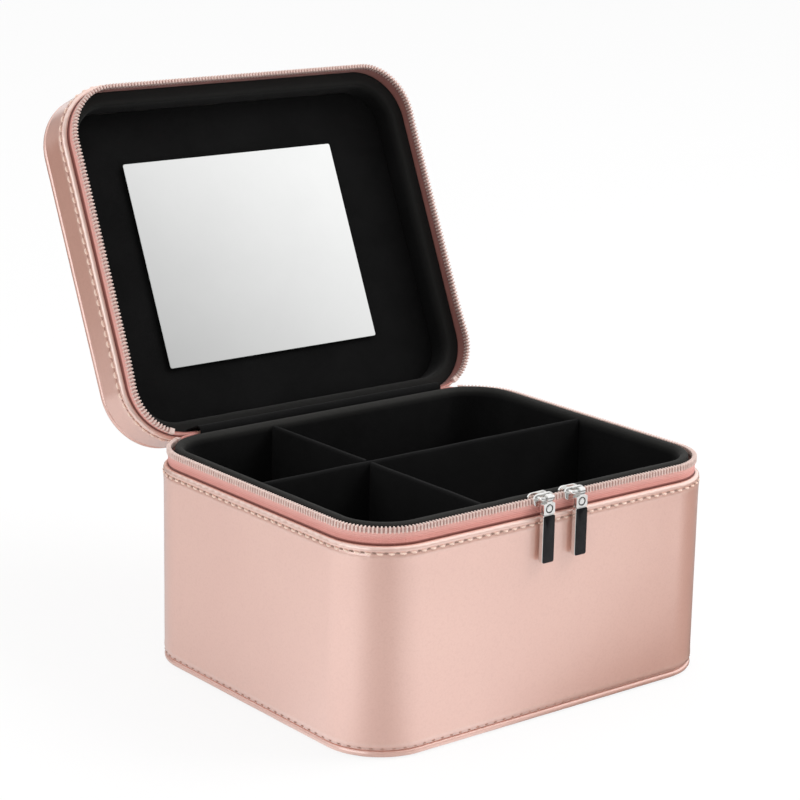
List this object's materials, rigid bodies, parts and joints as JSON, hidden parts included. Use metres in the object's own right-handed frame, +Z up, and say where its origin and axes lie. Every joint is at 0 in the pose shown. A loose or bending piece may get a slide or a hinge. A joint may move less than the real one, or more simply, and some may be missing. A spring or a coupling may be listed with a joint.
{
  "type": "makeup case",
  "caption": "Rounded zip-around makeup case in satin leather, with a mirrored lid on a fabric hinge, a velvet-lined body split by crossing dividers, and sliders with hanging pullers.",
  "frame": {"origin": "on the floor under the middle of the base", "axes": "+X to the right along the front, +Y to the back where the hinge is, +Z up; lid open at rest"},
  "size_m": [0.2002, 0.2616, 0.2494],
  "materials": {
    "leather": "satin metallic rose-gold coated leather with fine grain",
    "board": "pressed fibreboard",
    "velvet": "black velvet over thin foam",
    "zip_tape": "woven salmon-pink zip tape",
    "zip_teeth": "pale metallised teeth",
    "zip_metal": "polished plated die casting",
    "inlay": "gloss black",
    "mirror": "silvered glass",
    "adhesive": "foam mounting tape"
  },
  "bodies": {
    "case": {"base_cover": "leather", "base_board": "board", "base_piping": "leather", "body_wall_board": "board", "body_cover": "leather", "body_lining": "velvet", "floor_pad": "velvet", "long_divider": "velvet", "cross_divider": "velvet", "lower_zip_tape": "zip_tape", "lower_zip_teeth": "zip_teeth", "lower_zip_stops": "zip_metal", "hinge_strip": "leather", "hinge_lining": "velvet"},
    "lid": {"lid_cover_panel": "leather", "lid_board": "board", "lid_piping": "leather", "lid_wall_board": "board", "lid_cover": "leather", "lid_lining": "velvet", "lid_pad": "velvet", "mirror_tape": "adhesive", "mirror_glass": "mirror", "upper_zip_tape": "zip_tape", "upper_zip_teeth": "zip_teeth", "upper_zip_stops": "zip_metal"},
    "left_slider": {"left_slider_body": "zip_metal", "left_slider_bridge": "zip_metal"},
    "left_puller": {"left_puller_link": "zip_metal", "left_puller_rivet": "zip_metal", "left_puller_frame": "zip_metal", "left_puller_inlay": "inlay"},
    "right_slider": {"right_slider_body": "zip_metal", "right_slider_bridge": "zip_metal"},
    "right_puller": {"right_puller_link": "zip_metal", "right_puller_rivet": "zip_metal", "right_puller_frame": "zip_metal", "right_puller_inlay": "inlay"}
  },
  "joints": [
    {"name": "lid_hinge", "type": "hinge", "parent": "case", "child": "lid", "pos_m": [0, 0.08165, 0.0993], "axis": [1, 0, 0], "range_deg": [0, 114], "deforming": ["hinge_strip", "hinge_lining"]},
    {"name": "left_slider_travel", "type": "slide", "parent": "case", "child": "left_slider", "axis": [1, 0, 0], "range_m": [-0.056, 0]},
    {"name": "right_slider_travel", "type": "slide", "parent": "case", "child": "right_slider", "axis": [1, 0, 0], "range_m": [0, 0.055]},
    {"name": "left_puller_swing", "type": "hinge", "parent": "left_slider", "child": "left_puller", "pos_m": [-0.0084, -0.0866, 0.0993], "axis": [-1, 0, 0], "range_deg": [0, 170]},
    {"name": "right_puller_swing", "type": "hinge", "parent": "right_slider", "child": "right_puller", "pos_m": [0.0099, -0.0866, 0.0993], "axis": [-1, 0, 0], "range_deg": [0, 170]}
  ]
}
